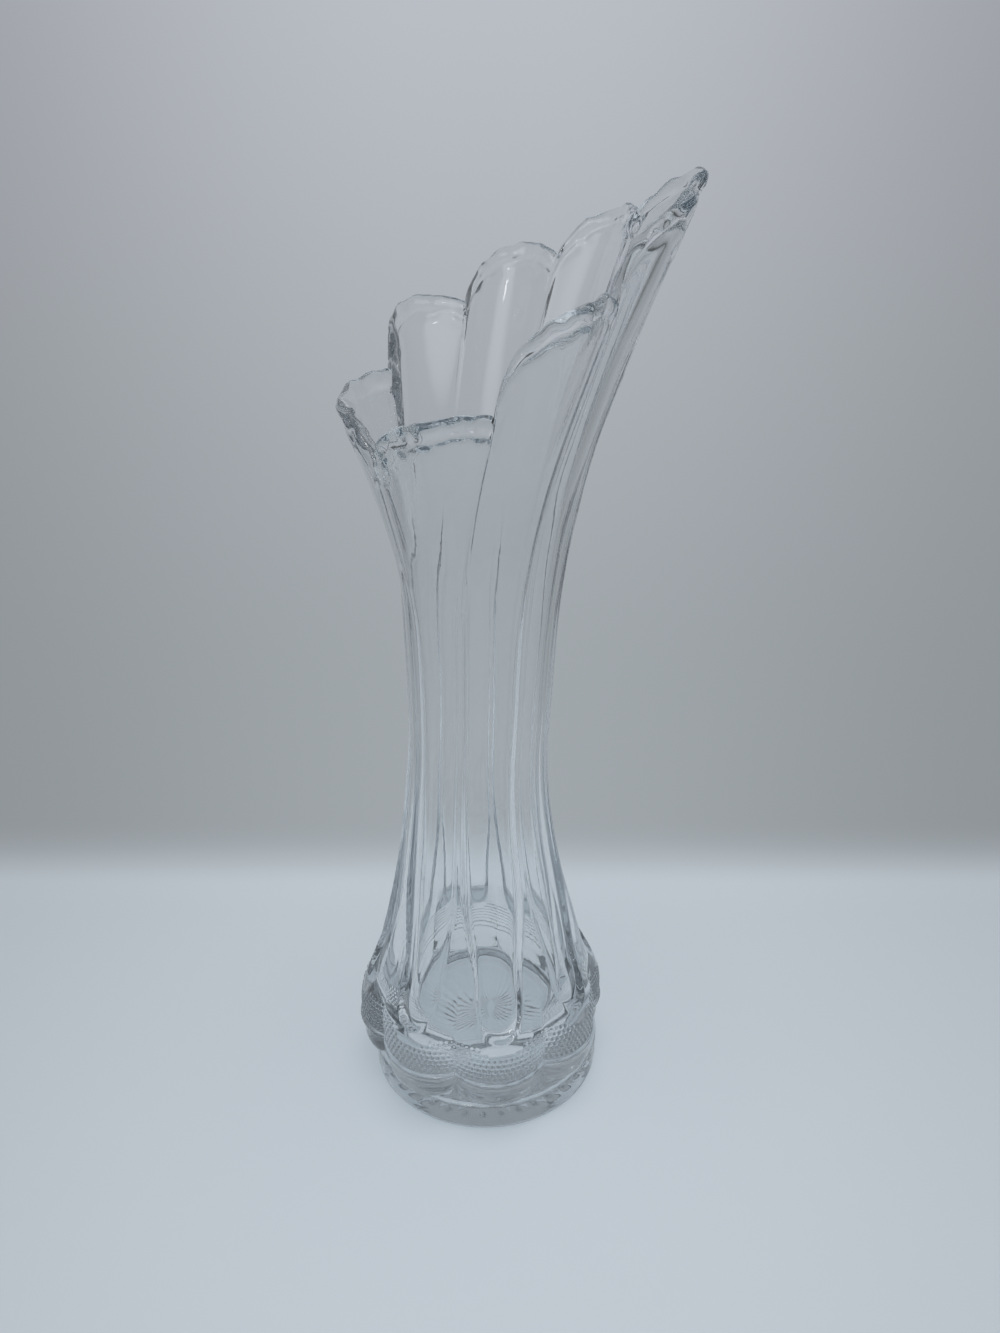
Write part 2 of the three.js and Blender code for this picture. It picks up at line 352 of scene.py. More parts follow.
@dataclass(frozen=True)
class VaseForm:
    """Shape of the vase without its repeated relief, as rules from a few sizes."""

    first_rib_angle: float = -12.2
    foot: Foot = field(default_factory=Foot)
    lobes: Lobes = field(default_factory=Lobes)
    body: Body = field(default_factory=Body)
    flutes: Flutes = field(default_factory=Flutes)
    mouth: Mouth = field(default_factory=Mouth)
    wall: Wall = field(default_factory=Wall)
    rows: Rows = field(default_factory=Rows)

    @property
    def panels(self) -> int:
        """Number of panels round the vase."""
        return len(self.mouth.ribs)

    @property
    def shoulder_height(self) -> float:
        """Height of the shoulder."""
        return self.foot.neck_height + self.body.shoulder_rise

    @property
    def flute_end_height(self) -> float:
        """Height where the round lower end of a flute begins."""
        return self.shoulder_height + self.flutes.end_rise

    @property
    def waist_height(self) -> float:
        """Height of the narrowest ring of the body."""
        return self.shoulder_height + self.body.waist_rise

    @property
    def well_foot(self) -> float:
        """Height where the wall of the well turns in to its floor."""
        return self.wall.floor + self.wall.corner

    def meridians(self, fineness: Fineness) -> Meridians:
        """Lines up the vase at one fineness.

        Args:
            fineness: Columns across each panel.

        Returns:
            The share of the half panel, the angle and the end at the mouth of every line.
        """
        across = np.arange(fineness.value) / fineness.value
        lines = []
        for panel in range(self.panels):
            start = self.mouth.ribs[panel]
            end = self.mouth.ribs[(panel + 1) % self.panels]
            angle = np.radians(self.first_rib_angle + (panel + across) * 360 / self.panels)
            turn = (end.angle - start.angle + 360) % 360
            mouth_angle = np.radians(start.angle + turn * across)
            mouth_angle += FULL_TURN * np.round((angle - mouth_angle) / FULL_TURN)
            climb = across if start.rise < end.rise else 1 - across
            skew = 1 - abs(end.rise - start.rise) / self.mouth.skew_length
            arch = np.abs(np.sin(np.pi * climb**skew)) ** self.mouth.petal_roundness
            height = self.waist_height + lerp(start.rise, end.rise, across) + start.petal_rise * arch
            bow = np.sin(np.pi * across) ** self.mouth.petal_bow
            radius = lerp(self.mouth.rib_radius, start.petal_radius, bow)
            lines.append((2 * across - 1, angle, mouth_angle, height, radius, across))
        return Meridians(*(np.concatenate(parts) for parts in zip(*lines)))

    def rib_radius(self, height: Number) -> np.ndarray:
        """Radius over the ribs, which narrows to the waist and tucks in under the shoulder.

        Args:
            height: Height of each point.

        Returns:
            The radius there.
        """
        body = self.body
        slope = body.curve * (body.shoulder_radius - body.waist_radius) / body.waist_rise
        drop = body.shoulder_rise - self.lobes.roll_rib_rise
        tuck = (body.shoulder_radius + slope * drop - self.lobes.roll_rib_radius) / drop**2
        below = np.maximum(self.shoulder_height - height, 0)
        tucked = body.shoulder_radius + slope * below - tuck * below**2
        down = np.clip((self.waist_height - height) / body.waist_rise, 0, 1)
        swept = lerp(body.waist_radius, body.shoulder_radius, down**body.curve)
        swept = swept + body.taper * np.maximum(height - self.waist_height, 0)
        return np.where(height < self.shoulder_height, tucked, swept)

    def lobe_bulge(self, share: np.ndarray, height: np.ndarray) -> np.ndarray:
        """How far a lobe bulges outside the ribs.

        Args:
            share: Where across its panel each point lies, from -1 on one rib to 1 on the next.
            height: Height of each point.

        Returns:
            The bulge there.
        """
        below = np.maximum(self.foot.neck_height + self.lobes.rise - height, 0)
        down = below / (self.lobes.rise - self.lobes.roll_middle_rise)
        return self.lobes.depth * down**self.lobes.curve * (1 - share**2)

    def roll_height(self, share: np.ndarray) -> np.ndarray:
        """Height of the top of the rolled edge."""
        rise = lerp(self.lobes.roll_middle_rise, self.lobes.roll_rib_rise, share**2)
        return self.foot.neck_height + rise

    def flare(self, lines: Meridians, height: np.ndarray) -> tuple[np.ndarray, np.ndarray]:
        """How far the wall has opened towards the mouth.

        Args:
            lines: Meridians that the points lie on.
            height: Height of each point.

        Returns:
            Share of the flare's height reached, and the swell of the wall there.
        """
        lean = (1 + np.sin(lines.mouth_angle)) / 2
        rise = lerp(self.mouth.high_flare_rise, self.mouth.low_flare_rise, lean)
        start = self.waist_height + rise
        share = np.clip((height - start) / (lines.mouth_height - start), 0, 1)
        turn = np.pi * self.mouth.flare_turn
        return share, (1 - np.cos(turn * share**self.mouth.flare_curve)) / (1 - np.cos(turn))

    @property
    def body_centre(self) -> tuple[float, float]:
        """Where the middle of the lobes and of the lower body lies."""
        return -self.body.shift_left, -self.body.shift_forward

    def centre(self, height: np.ndarray, swell: np.ndarray) -> tuple[np.ndarray, float]:
        """Where the middle of the wall lies at each height.

        Args:
            height: Height of each point.
            swell: How far the wall has opened towards the mouth there.

        Returns:
            The middle along X for each point, and along Y.
        """
        rise = height - self.shoulder_height - self.body.drift_rise
        along = np.clip(rise / self.body.drift_length, -0.5, 0.5)
        drift = self.body.drift * np.cos(np.pi * along) ** 2
        left, forward = self.body_centre
        return left + self.mouth.lean * swell - drift, forward

    def wall_thickness(self, height: Number) -> np.ndarray:
        """Thickness of the glass under the ribs.

        Args:
            height: Height of each point.

        Returns:
            The thickness there.
        """
        wall = self.wall
        low = np.clip((self.shoulder_height - height) / (self.shoulder_height - wall.floor), 0, 1)
        high = np.clip((self.waist_height - height) / self.body.waist_rise, 0, 1) ** wall.curve
        thick = lerp(wall.shoulder, wall.foot, low)
        return np.where(height < self.shoulder_height, thick, lerp(wall.waist, wall.shoulder, high))


class VaseSkin:
    """Closed skin of the vase as rings, from the middle of the underside to the floor of the well."""

    SCALARS = (
        "share",
        "petal_run",
        "flute_room",
        "above_roll",
        "star_reach",
        "lip_room",
        "groove",
        "wave_room",
        "facing",
    )

    def __init__(self, form: VaseForm) -> None:
        """Keeps the form and prepares its meridians."""
        self.form = form
        self.lines = {fineness: form.meridians(fineness) for fineness in Fineness}

    def ring(
        self,
        lines: Meridians,
        radius: Number,
        height: Number,
        centre: tuple[Number, Number] = (0.0, 0.0),
        angle: np.ndarray | None = None,
        **values: Number,
    ) -> Ring:
        """One ring of the skin.

        Args:
            lines: Meridians that its points lie on.
            radius: Radius of each point.
            height: Height of each point.
            centre: Where the ring's middle lies along X and Y.
            angle: Angle of each point, or None for the meridians' own.
            values: What the relief needs to know at each point.

        Returns:
            The ring.
        """
        angle = lines.angle if angle is None else angle
        flat = np.zeros_like(angle)
        outward = np.stack((np.sin(angle), -np.cos(angle), flat), axis=1)
        points = outward * (flat + radius)[:, None]
        points[:, 0] += centre[0]
        points[:, 1] += centre[1]
        points[:, 2] = height
        known = {name: flat + values.get(name, 0.0) for name in self.SCALARS}
        known["share"] = lines.share
        known["petal_run"] = lines.petal_run
        return Ring(points, {**known, "outward": outward})

    def wall_ring(
        self, lines: Meridians, height: np.ndarray, radius: np.ndarray, lip_inset: float, **values: Number
    ) -> Ring:
        """A ring on the swung wall.

        Args:
            lines: Meridians that its points lie on.
            height: Height of each point.
            radius: Radius that each point has where the wall doesn't flare yet.
            lip_inset: How far inside the petals' outline the ring ends at the mouth.
            values: What the relief needs to know at each point.

        Returns:
            The ring.
        """
        share, swell = self.form.flare(lines, height)
        reach = lerp(radius, lines.mouth_radius - lip_inset, swell)
        angle = lerp(lines.angle, lines.mouth_angle, smoothstep(share, 0, 1))
        return self.ring(lines, reach, height, self.form.centre(height, swell), angle, **values)

    def wall_room(self, lines: Meridians, height: np.ndarray) -> dict[str, np.ndarray]:
        """What the relief may do on the wall. The drawn-out body is even, and the reheated mouth is not.

        Args:
            lines: Meridians of the ring.
            height: Height of each point.

        Returns:
            How near the lip each point lies, its share of the shallow groove under the lip's bead, and
            how uneven the wall is there.
        """
        wall, waist = self.form.wall, self.form.waist_height
        drop = lines.mouth_height - wall.lip_height - height
        return {
            "lip_room": 1 - smoothstep(drop, 0, wall.lip_reach),
            "groove": np.exp(-(((drop - wall.groove_drop) / wall.groove_width) ** 2)),
            "wave_room": lerp(wall.body_wave_share, 1.0, smoothstep(height, waist, waist + wall.wave_rise)),
        }

    def outer_ring(
        self, fineness: Fineness, height: Number, lip_inset: float = 0.0, facing: float = 1.0
    ) -> Ring:
        """A ring on the outside of the lobes, the body or the mouth.

        Args:
            fineness: Columns across each panel.
            height: Height of each point.
            lip_inset: How far the ring has turned in over the lip.
            facing: Which way the wall looks, from 1 outwards to -1 inwards.

        Returns:
            The ring.
        """
        form, lines = self.form, self.lines[fineness]
        height = height + np.zeros_like(lines.share)
        share, swell = form.flare(lines, height)
        fade = 1 - smoothstep(share, form.flutes.fade_start, form.flutes.fade_end)
        radius = form.rib_radius(height) + form.lobe_bulge(lines.share, height)
        slope = 2 * (form.lobes.roll_rib_rise - form.lobes.roll_middle_rise) * lines.share
        half_panel = np.pi * form.lobes.roll_rib_radius / form.panels
        return self.wall_ring(
            lines,
            height,
            radius - lip_inset,
            lip_inset,
            flute_room=fade * (1 - swell),
            above_roll=(height - form.roll_height(lines.share)) / np.hypot(1, slope / half_panel),
            facing=facing,
            **self.wall_room(lines, height),
        )

    def inner_ring(self, fineness: Fineness, height: Number) -> Ring:
        """A ring on the wall of the well.

        Args:
            fineness: Columns across each panel.
            height: Height of each point.

        Returns:
            The ring.
        """
        form, lines = self.form, self.lines[fineness]
        height = height + np.zeros_like(lines.share)
        radius = form.rib_radius(height) - form.wall_thickness(height)
        room = self.wall_room(lines, height)
        return self.wall_ring(lines, height, radius, form.wall.lip, facing=-1.0, **room)

    def underside(self, star: Star) -> list[Ring]:
        """Rings of the underside, from its hub over the star to the edge of the foot.

        Args:
            star: Star under the foot.

        Returns:
            The rings, from the inside out.
        """
        rows, medium = self.form.rows, self.lines[Fineness.MEDIUM]
        rings = []
        for fineness, share in zip((Fineness.HUB, Fineness.COARSE), star.hub_shares):
            rings.append(self.ring(self.lines[fineness], star.inner_radius * share, 0.0, star_reach=-1.0))
        for reach in np.linspace(0, 1, rows.star):
            radius = lerp(star.inner_radius, star.outer_radius, reach)
            rings.append(self.ring(medium, radius, 0.0, star_reach=reach))
        flat_edge = self.form.foot.radius - self.form.foot.edge
        for step in np.linspace(0, 1, rows.foot_rim)[1:]:
            rings.append(self.ring(medium, lerp(star.outer_radius, flat_edge, step), 0.0, star_reach=1.0))
        return rings

    def foot_rings(self) -> list[Ring]:
        """Rings of the foot's wall with its two rounded edges, and of the neck.

        Returns:
            The rings, from below.
        """
        foot, rows, lines = self.form.foot, self.form.rows, self.lines[Fineness.MEDIUM]
        rings = []
        for height, turns in ((foot.edge, (-1, 0)), (foot.height - foot.edge, (0, 1))):
            for sweep in np.linspace(*turns, rows.foot_edge) * QUARTER_TURN:
                radius = foot.radius - foot.edge * (1 - math.cos(sweep))
                rings.append(self.ring(lines, radius, height + foot.edge * math.sin(sweep)))
        top_radius = foot.radius - foot.edge
        for step in np.linspace(0, 1, rows.neck)[1:]:
            height = lerp(foot.height, foot.neck_height, step)
            radius = lerp(foot.neck_radius, top_radius, (1 - step) ** 2)
            rings.append(self.ring(lines, radius, height))
        return rings[1:]

    def roll_rings(self) -> list[Ring]:
        """Rings of the rolled edge, from its foot over its fullest part to the small ledge on its top.

        Returns:
            The rings, from below.
        """
        form, lines = self.form, self.lines[Fineness.MEDIUM]
        lobes, rows = form.lobes, form.rows
        top = form.roll_height(lines.share)
        band = form.rib_radius(top) + form.lobe_bulge(lines.share, top)
        fullest = band + lobes.roll_bulge * (1 - lines.share**2)
        lip = band + lobes.roll_lip
        depth = lerp(lobes.roll_middle_depth, lobes.roll_rib_depth, lines.share**lobes.roll_notch)
        rings = []
        # The first half of the way up leads out to the fullest part, and the second half to the ledge.
        for turn in np.linspace(0, 1, rows.roll):
            step = 0.5 * turn**2
            radius = lerp(form.foot.neck_radius, fullest, math.sin(step * math.pi) ** lobes.roll_fullness)
            rings.append(self.ring(lines, radius, top - depth * (1 - step), form.body_centre))
        for step in np.linspace(0.5, 1, rows.roll_top)[1:]:
            radius = lerp(fullest, lip, (step * 2 - 1) ** 2)
            rings.append(self.ring(lines, radius, top - depth * (1 - step), form.body_centre))
        for sweep in np.linspace(0, 1, rows.ledge)[1:] * QUARTER_TURN:
            radius = lerp(lip, band, 1 - math.cos(sweep))
            height = top + lobes.ledge_height * math.sin(sweep)
            rings.append(self.ring(lines, radius, height, form.body_centre))
        return rings

    def lobe_rings(self) -> list[Ring]:
        """Fine rings of the beaded band and the lower ends of the flutes.

        Returns:
            The rings, from below.
        """
        form = self.form
        low = form.roll_height(self.lines[Fineness.BEADED].share) + form.lobes.roll_lip
        steps = np.linspace(0, 1, form.rows.lobes)
        return [self.outer_ring(Fineness.BEADED, lerp(low, form.shoulder_height, step)) for step in steps]

    def body_heights(self) -> np.ndarray:
        """Heights of the body's rings from the shoulder to the waist, closer together low down.

        Returns:
            The heights, from below.
        """
        form, count = self.form, self.form.rows.body
        steps = (np.arange(count) + 1) / count
        return lerp(form.shoulder_height, form.waist_height, steps**form.rows.body_crowding)

    def mouth_heights(self, fineness: Fineness) -> list[np.ndarray]:
        """Heights of rings from the waist up to the lip, close together just under it.

        Args:
            fineness: Columns across each panel.

        Returns:
            The heights of each ring's points, from below.
        """
        form, rows = self.form, self.form.rows
        lip_foot = self.lines[fineness].mouth_height - form.wall.lip_height
        fine = lip_foot - form.wall.lip_fine
        steps = (np.arange(rows.mouth) + 1) / rows.mouth
        fine_steps = (np.arange(rows.under_lip) + 1) / (rows.under_lip + 1)
        heights = [lerp(form.waist_height, fine, step) for step in steps]
        return heights + [lerp(fine, lip_foot, step) for step in fine_steps]

    def skin_rings(self, star: Star) -> list[Ring]:
        """Every ring of the skin in order.

        Args:
            star: Star under the foot.

        Returns:
            The rings, up the outside, over the lip and down the well.
        """
        form, rows = self.form, self.form.rows
        medium, coarse = Fineness.MEDIUM, Fineness.COARSE
        near_lip = self.mouth_heights(medium)
        rings = self.underside(star) + self.foot_rings() + self.roll_rings() + self.lobe_rings()
        rings += [self.outer_ring(medium, height) for height in (*self.body_heights(), *near_lip)]
        lip_foot = self.lines[medium].mouth_height - form.wall.lip_height
        for sweep in np.linspace(0, math.pi, rows.lip):
            height = lip_foot + form.wall.lip_height * math.sin(sweep)
            inset = form.wall.lip / 2 * (1 - math.cos(sweep))
            rings.append(self.outer_ring(medium, height, inset, math.cos(sweep)))
        rings += [self.inner_ring(medium, height) for height in reversed(near_lip[-rows.under_lip :])]
        below = self.mouth_heights(coarse)[: -rows.under_lip]
        rings += [self.inner_ring(coarse, height) for height in reversed(below)]
        for step in np.arange(rows.well) / (rows.well - 1):
            rings.append(self.inner_ring(coarse, lerp(form.waist_height, form.well_foot, step)))
        return rings + self.floor_rings()

    def floor_rings(self) -> list[Ring]:
        """Rings of the well's rounded corner and of its floor.

        Returns:
            The rings, from the outside in.
        """
        form, coarse = self.form, self.lines[Fineness.COARSE]
        floor, corner = form.wall.floor, form.wall.corner
        wall = float(form.rib_radius(form.well_foot) - form.wall_thickness(form.well_foot))
        rings = []
        for sweep in np.linspace(0, 1, form.rows.corner)[1:] * QUARTER_TURN:
            height = floor + corner * (1 - math.sin(sweep))
            radius = wall - corner * (1 - math.cos(sweep))
            rings.append(self.ring(coarse, radius, height, form.body_centre, facing=-1.0))
        flat = wall - corner
        for share in form.wall.floor_shares:
            rings.append(self.ring(coarse, flat * share, floor, form.body_centre, facing=-1.0))
        hub, radius = self.lines[Fineness.HUB], flat * form.wall.floor_hub_share
        rings.append(self.ring(hub, radius, floor, form.body_centre, facing=-1.0))
        return rings

    def mesh(self, star: Star) -> bpy.types.Mesh:
        """Joins the rings into one closed mesh that carries the relief's values.

        Args:
            star: Star under the foot, which sets where the underside's rings lie.

        Returns:
            The mesh, without its relief.
        """
        rings = self.skin_rings(star)
        points = [np.zeros((1, 3))] + [ring.points for ring in rings]
        points.append(np.array([[*self.form.body_centre, self.form.wall.floor]]))
        points = np.concatenate(points)
        faces = []
        start = 1
        for column in range(rings[0].columns):
            faces.append((0, start + (column + 1) % rings[0].columns, start + column))
        for low, high in zip(rings, rings[1:]):
            faces += self.band(start, low.columns, start + low.columns, high.columns)
            start += low.columns
        columns = rings[-1].columns
        last = len(points) - 1
        faces += [(last, start + column, start + (column + 1) % columns) for column in range(columns)]
        mesh = bpy.data.meshes.new("vase_skin")
        mesh.from_pydata(points, [], faces)
        self.store(mesh, rings)
        return mesh

    @staticmethod
    def band(low: int, low_columns: int, high: int, high_columns: int) -> list[tuple[int, ...]]:
        """Faces between two rings, of which one may have twice the other's columns.

        Args:
            low: Index of the lower ring's first point.
            low_columns: Points in the lower ring.
            high: Index of the upper ring's first point.
            high_columns: Points in the upper ring.

        Returns:
            Faces that look outwards.
        """
        faces = []
        for column in range(min(low_columns, high_columns)):
            if low_columns == high_columns:
                after = (column + 1) % low_columns
                faces.append((low + column, low + after, high + after, high + column))
                continue
            many, few = (low, high) if low_columns > high_columns else (high, low)
            first, second = many + 2 * column, many + 2 * column + 1
            third = many + (2 * column + 2) % max(low_columns, high_columns)
            left, right = few + column, few + (column + 1) % min(low_columns, high_columns)
            three = [(first, second, left), (second, right, left), (second, third, right)]
            faces += three if many == low else [face[::-1] for face in three]
        return faces

    def store(self, mesh: bpy.types.Mesh, rings: list[Ring]) -> None:
        """Keeps the relief's values on the mesh as named attributes.

        Args:
            mesh: Mesh made from the rings, with one more point at each end.
            rings: Rings in the mesh's order.
        """
        for name in self.SCALARS:
            values = np.concatenate([[0.0]] + [ring.values[name] for ring in rings] + [[0.0]])
            layer = mesh.attributes.new(name, "FLOAT", "POINT")
            layer.data.foreach_set("value", values.astype(np.float32))
        pole = np.array([[0.0, 0.0, 1.0]])
        outward = np.concatenate([pole] + [ring.values["outward"] for ring in rings] + [pole])
        layer = mesh.attributes.new("outward", "FLOAT_VECTOR", "POINT")
        layer.data.foreach_set("vector", outward.astype(np.float32).ravel())


class Board:
    """A node tree, with one call for each node that goes into it."""

    # Sockets of the Mix node that hold colours.
    MIX_START, MIX_END, MIX_RESULT = 6, 7, 2

    def __init__(self, tree: bpy.types.NodeTree) -> None:
        """Keeps the tree."""
        self.tree = tree

    @staticmethod
    def empty(owner: bpy.types.Material | bpy.types.World) -> "Board":
        """Board of a material or a world, cleared of the nodes that it starts with.

        Args:
            owner: What the nodes belong to.

        Returns:
            The empty board.
        """
        owner.use_nodes = True
        owner.node_tree.nodes.clear()
        return Board(owner.node_tree)

    def add(
        self, kind: str, inputs: dict[str | int, object] | None = None, **settings: object
    ) -> bpy.types.Node:
        """New node.

        Args:
            kind: Its type.
            inputs: What goes into its inputs, by their names or numbers: terms, sockets or plain values.
            settings: Its own settings, such as its operation.

        Returns:
            The node.
        """
        node = self.tree.nodes.new(kind)
        for name, setting in settings.items():
            setattr(node, name, setting)
        for name, value in (inputs or {}).items():
            self.feed(node.inputs[name], value)
        return node

    def feed(self, slot: bpy.types.NodeSocket, value: object) -> None:
        """Links a term or a socket to an input, or sets a plain value there.

        Args:
            slot: The input.
            value: What goes into it.
        """
        value = value.socket if isinstance(value, Term) else value
        if isinstance(value, bpy.types.NodeSocket):
            self.tree.links.new(value, slot)
        else:
            slot.default_value = value

    def term(self, socket: bpy.types.NodeSocket) -> "Term":
        """A socket as a number."""
        return Term(self, socket)

    def split(self, vector: bpy.types.NodeSocket) -> list["Term"]:
        """The three numbers of a vector."""
        return [self.term(socket) for socket in self.add("ShaderNodeSeparateXYZ", {0: vector}).outputs]

    def scaled(self, vector: bpy.types.NodeSocket, by: "Term") -> bpy.types.NodeSocket:
        """A vector or a colour times a number."""
        return self.add("ShaderNodeVectorMath", {0: vector, "Scale": by}, operation="SCALE").outputs[0]

    def blend(
        self, start: Colour | bpy.types.NodeSocket, end: Colour | bpy.types.NodeSocket, share: "Term"
    ) -> bpy.types.NodeSocket:
        """Colour between two.

        Args:
            start: Colour at a share of 0, as a plain colour or a socket.
            end: Colour at a share of 1.
            share: Share of the way.

        Returns:
            The colour's socket.
        """
        start, end = ((*colour, 1) if isinstance(colour, tuple) else colour for colour in (start, end))
        inputs = {0: share, self.MIX_START: start, self.MIX_END: end}
        return self.add("ShaderNodeMix", inputs, data_type="RGBA").outputs[self.MIX_RESULT]


class Term:
    """A number in a node tree, which takes the usual signs."""

    def __init__(self, board: Board, socket: bpy.types.NodeSocket) -> None:
        """Wraps a socket of a tree."""
        self.board = board
        self.socket = socket

    @staticmethod
    def maths(board: Board, operation: str, *values: "Term | float") -> "Term":
        """Result of a Math node on several numbers, of which any may be plain."""
        node = board.add("ShaderNodeMath", dict(enumerate(values)), operation=operation)
        return board.term(node.outputs[0])

    def join(self, operation: str, *others: "Term | float") -> "Term":
        """Result of a Math node on this number and others."""
        return Term.maths(self.board, operation, self, *others)

    def __add__(self, other: "Term | float") -> "Term":
        """Sum."""
        return self.join("ADD", other)

    def __sub__(self, other: "Term | float") -> "Term":
        """Difference."""
        return self.join("SUBTRACT", other)

    def __rsub__(self, other: float) -> "Term":
        """Difference from a plain number."""
        return Term.maths(self.board, "SUBTRACT", other, self)

    def __mul__(self, other: "Term | float") -> "Term":
        """Product."""
        return self.join("MULTIPLY", other)

    def __truediv__(self, other: "Term | float") -> "Term":
        """Quotient."""
        return self.join("DIVIDE", other)

    def __pow__(self, other: "Term | float") -> "Term":
        """Power."""
        return self.join("POWER", other)

    def least(self, other: "Term | float") -> "Term":
        """The larger of the two."""
        return self.join("MAXIMUM", other)

    def most(self, other: "Term | float") -> "Term":
        """The smaller of the two."""
        return self.join("MINIMUM", other)

    def unit(self) -> "Term":
        """The number kept between 0 and 1."""
        return self.least(0.0).most(1.0)

    def towards(self, other: "Term | float", share: "Term | float") -> "Term":
        """Value at a share of the way to the other."""
        return self + (other - self) * share

    def smooth(self, low: "Term | float", high: "Term | float") -> "Term":
        """Smooth rise from 0 at low to 1 at high."""
        share = ((self - low) / Term.maths(self.board, "SUBTRACT", high, low)).unit()
        return share * share * (3.0 - share * 2.0)


class ReliefTree:
    """Geometry Nodes tree that presses the repeated relief into the skin: flutes, beads, star, ripples."""

    def __init__(self, form: VaseForm, beads: Beads, star: Star) -> None:
        """Keeps the sizes that the tree's inputs start from.

        Args:
            form: Shape of the vase.
            beads: Rows of beads.
            star: Star under the foot.
        """
        self.form = form
        self.beads = beads
        self.star = star
        self.board = Board(bpy.data.node_groups.new("vase_relief", "GeometryNodeTree"))
        self.inputs: dict[str, tuple[str, float]] = {}
        self.terms: dict[str, Term] = {}

    def declare(self) -> None:
        """Makes the tree's named inputs."""
        form, beads, star = self.form, self.beads, self.star
        face = self.board.tree.interface
        face.new_socket("Geometry", in_out="OUTPUT", socket_type="NodeSocketGeometry")
        face.new_socket("Geometry", in_out="INPUT", socket_type="NodeSocketGeometry")
        sizes = {
            "Flute depth at shoulder": form.flutes.shoulder_depth,
            "Flute depth at waist": form.flutes.waist_depth,
            "Flute end height": form.flute_end_height,
            "Flute end length": form.flutes.end_length,
            "Waist height": form.waist_height,
            "Bead height": beads.height,
            "Bead radius": beads.radius,
            "Lowest bead height": beads.low_height,
            "Lowest bead radius": beads.low_radius,
            "Beads a panel": beads.a_panel,
            "Bead rows": beads.rows,
            "First bead row": beads.first_row,
            "Bead row pitch": beads.row_pitch,
            "Star rays": star.rays,
            "Star depth": star.depth,
            "Lip ripples a petal": form.mouth.ripples,
            "Lip ripple height": form.mouth.ripple_height,
            "Lip lump height": form.mouth.lump_height,
            "Lip groove depth": form.wall.groove_depth,
            "Wave height": form.wall.wave_height,
        }
        for name, size in sizes.items():
            socket = face.new_socket(name, in_out="INPUT", socket_type="NodeSocketFloat")
            self.inputs[name] = (socket.identifier, float(size))

    def stored(self, name: str, kind: str = "FLOAT") -> bpy.types.NodeSocket:
        """Socket of a value stored on the skin."""
        node = self.board.add("GeometryNodeInputNamedAttribute", {"Name": name}, data_type=kind)
        return node.outputs["Attribute"]

    def attribute(self, name: str) -> Term:
        """A number stored on the skin."""
        return self.board.term(self.stored(name))

    def flute(self, share: Term, height: Term) -> tuple[Term, Term]:
        """One panel's flute.

        Args:
            share: Where across the panel a point lies, from -1 on one rib to 1 on the next.
            height: Height of the point.

        Returns:
            Depth of the flute, and how far outside its outline the point lies, with 1 on the outline.
        """
        flutes, terms = self.form.flutes, self.terms
        end = terms["Flute end height"]
        spread = height.smooth(end, end + flutes.spread)
        half_width = spread * (flutes.top_share - flutes.end_share) + flutes.end_share
        below = (end - height).least(0.0) / terms["Flute end length"]
        outline = (share / half_width) ** 2.0 + below**flutes.end_roundness
        down = ((terms["Waist height"] - height) / (terms["Waist height"] - end)).unit() ** flutes.curve
        deepest = terms["Flute depth at waist"].towards(terms["Flute depth at shoulder"], down)
        inside = 1.0 - outline.most(1.0)
        floor = 1.0 - outline.most(1.0) ** flutes.bevel
        return deepest * floor.towards(inside, flutes.hollow), outline

    def bead(self, share: Term, above: Term) -> Term:
        """Height of the beads, whose rows follow the rolled edge.

        Args:
            share: Where across the panel a point lies, from -1 on one rib to 1 on the next.
            above: How far above the rolled edge it lies.

        Returns:
            The height.
        """
        form, lobes, beads, terms = self.form, self.form.lobes, self.beads, self.terms
        pitch, first = terms["Bead row pitch"], terms["First bead row"]
        row = ((above - first) / pitch + 0.5).join("FLOOR").least(0.0).most(terms["Bead rows"] - 1.0)
        stagger = row.join("MODULO", 2.0) * 0.5
        count = terms["Beads a panel"]
        along = (share + 1.0) * 0.5 * count + stagger
        cell = along.join("FLOOR")
        middle_share = (cell + 0.5 - stagger) / count * 2.0 - 1.0
        bead_pitch = lobes.roll_rib_radius * FULL_TURN / form.panels / beads.a_panel * beads.girth
        across = (along - cell - 0.5) * bead_pitch
        up = above - first - row * pitch
        upper = row.join("GREATER_THAN", 0.5)
        radius = terms["Lowest bead radius"].towards(terms["Bead radius"], upper)
        height = terms["Lowest bead height"].towards(terms["Bead height"], upper)
        distance = (across * across + up * up) / (radius * radius)
        rise = lobes.roll_rib_rise - lobes.roll_middle_rise
        middle_square = middle_share * middle_share
        roll = middle_square * rise + (form.foot.neck_height + lobes.roll_middle_rise)
        outline = self.flute(middle_share, roll + first + row * pitch * beads.slope)[1]
        margin = middle_square * (beads.rib_margin - beads.middle_margin) + beads.middle_margin
        inside = outline.join("GREATER_THAN", margin)
        low_row = row.join("LESS_THAN", float(beads.full_rows))
        shown = inside.least(low_row * outline.join("GREATER_THAN", beads.low_margin))
        on_lobe = above.join("GREATER_THAN", first - terms["Lowest bead radius"])
        return height * (1.0 - distance).least(0.0) ** beads.roundness * shown * on_lobe

    def star_groove(self, share: Term, reach: Term) -> Term:
        """Depth of the star's grooves, with one ray's ridge between each two.

        Args:
            share: Where across the panel a point lies, from -1 on one rib to 1 on the next.
            reach: How far out on the star it lies, from 0 to 1.

        Returns:
            The depth.
        """
        rays_a_panel = self.terms["Star rays"] / float(self.form.panels)
        along = (share + 1.0) * 0.5 * rays_a_panel
        ridge = ((along - along.join("FLOOR")) * 2.0 - 1.0).join("ABSOLUTE")
        taper = (reach * (1.0 - reach) * 4.0).least(0.0) ** self.star.taper
        return self.terms["Star depth"] * ridge * taper

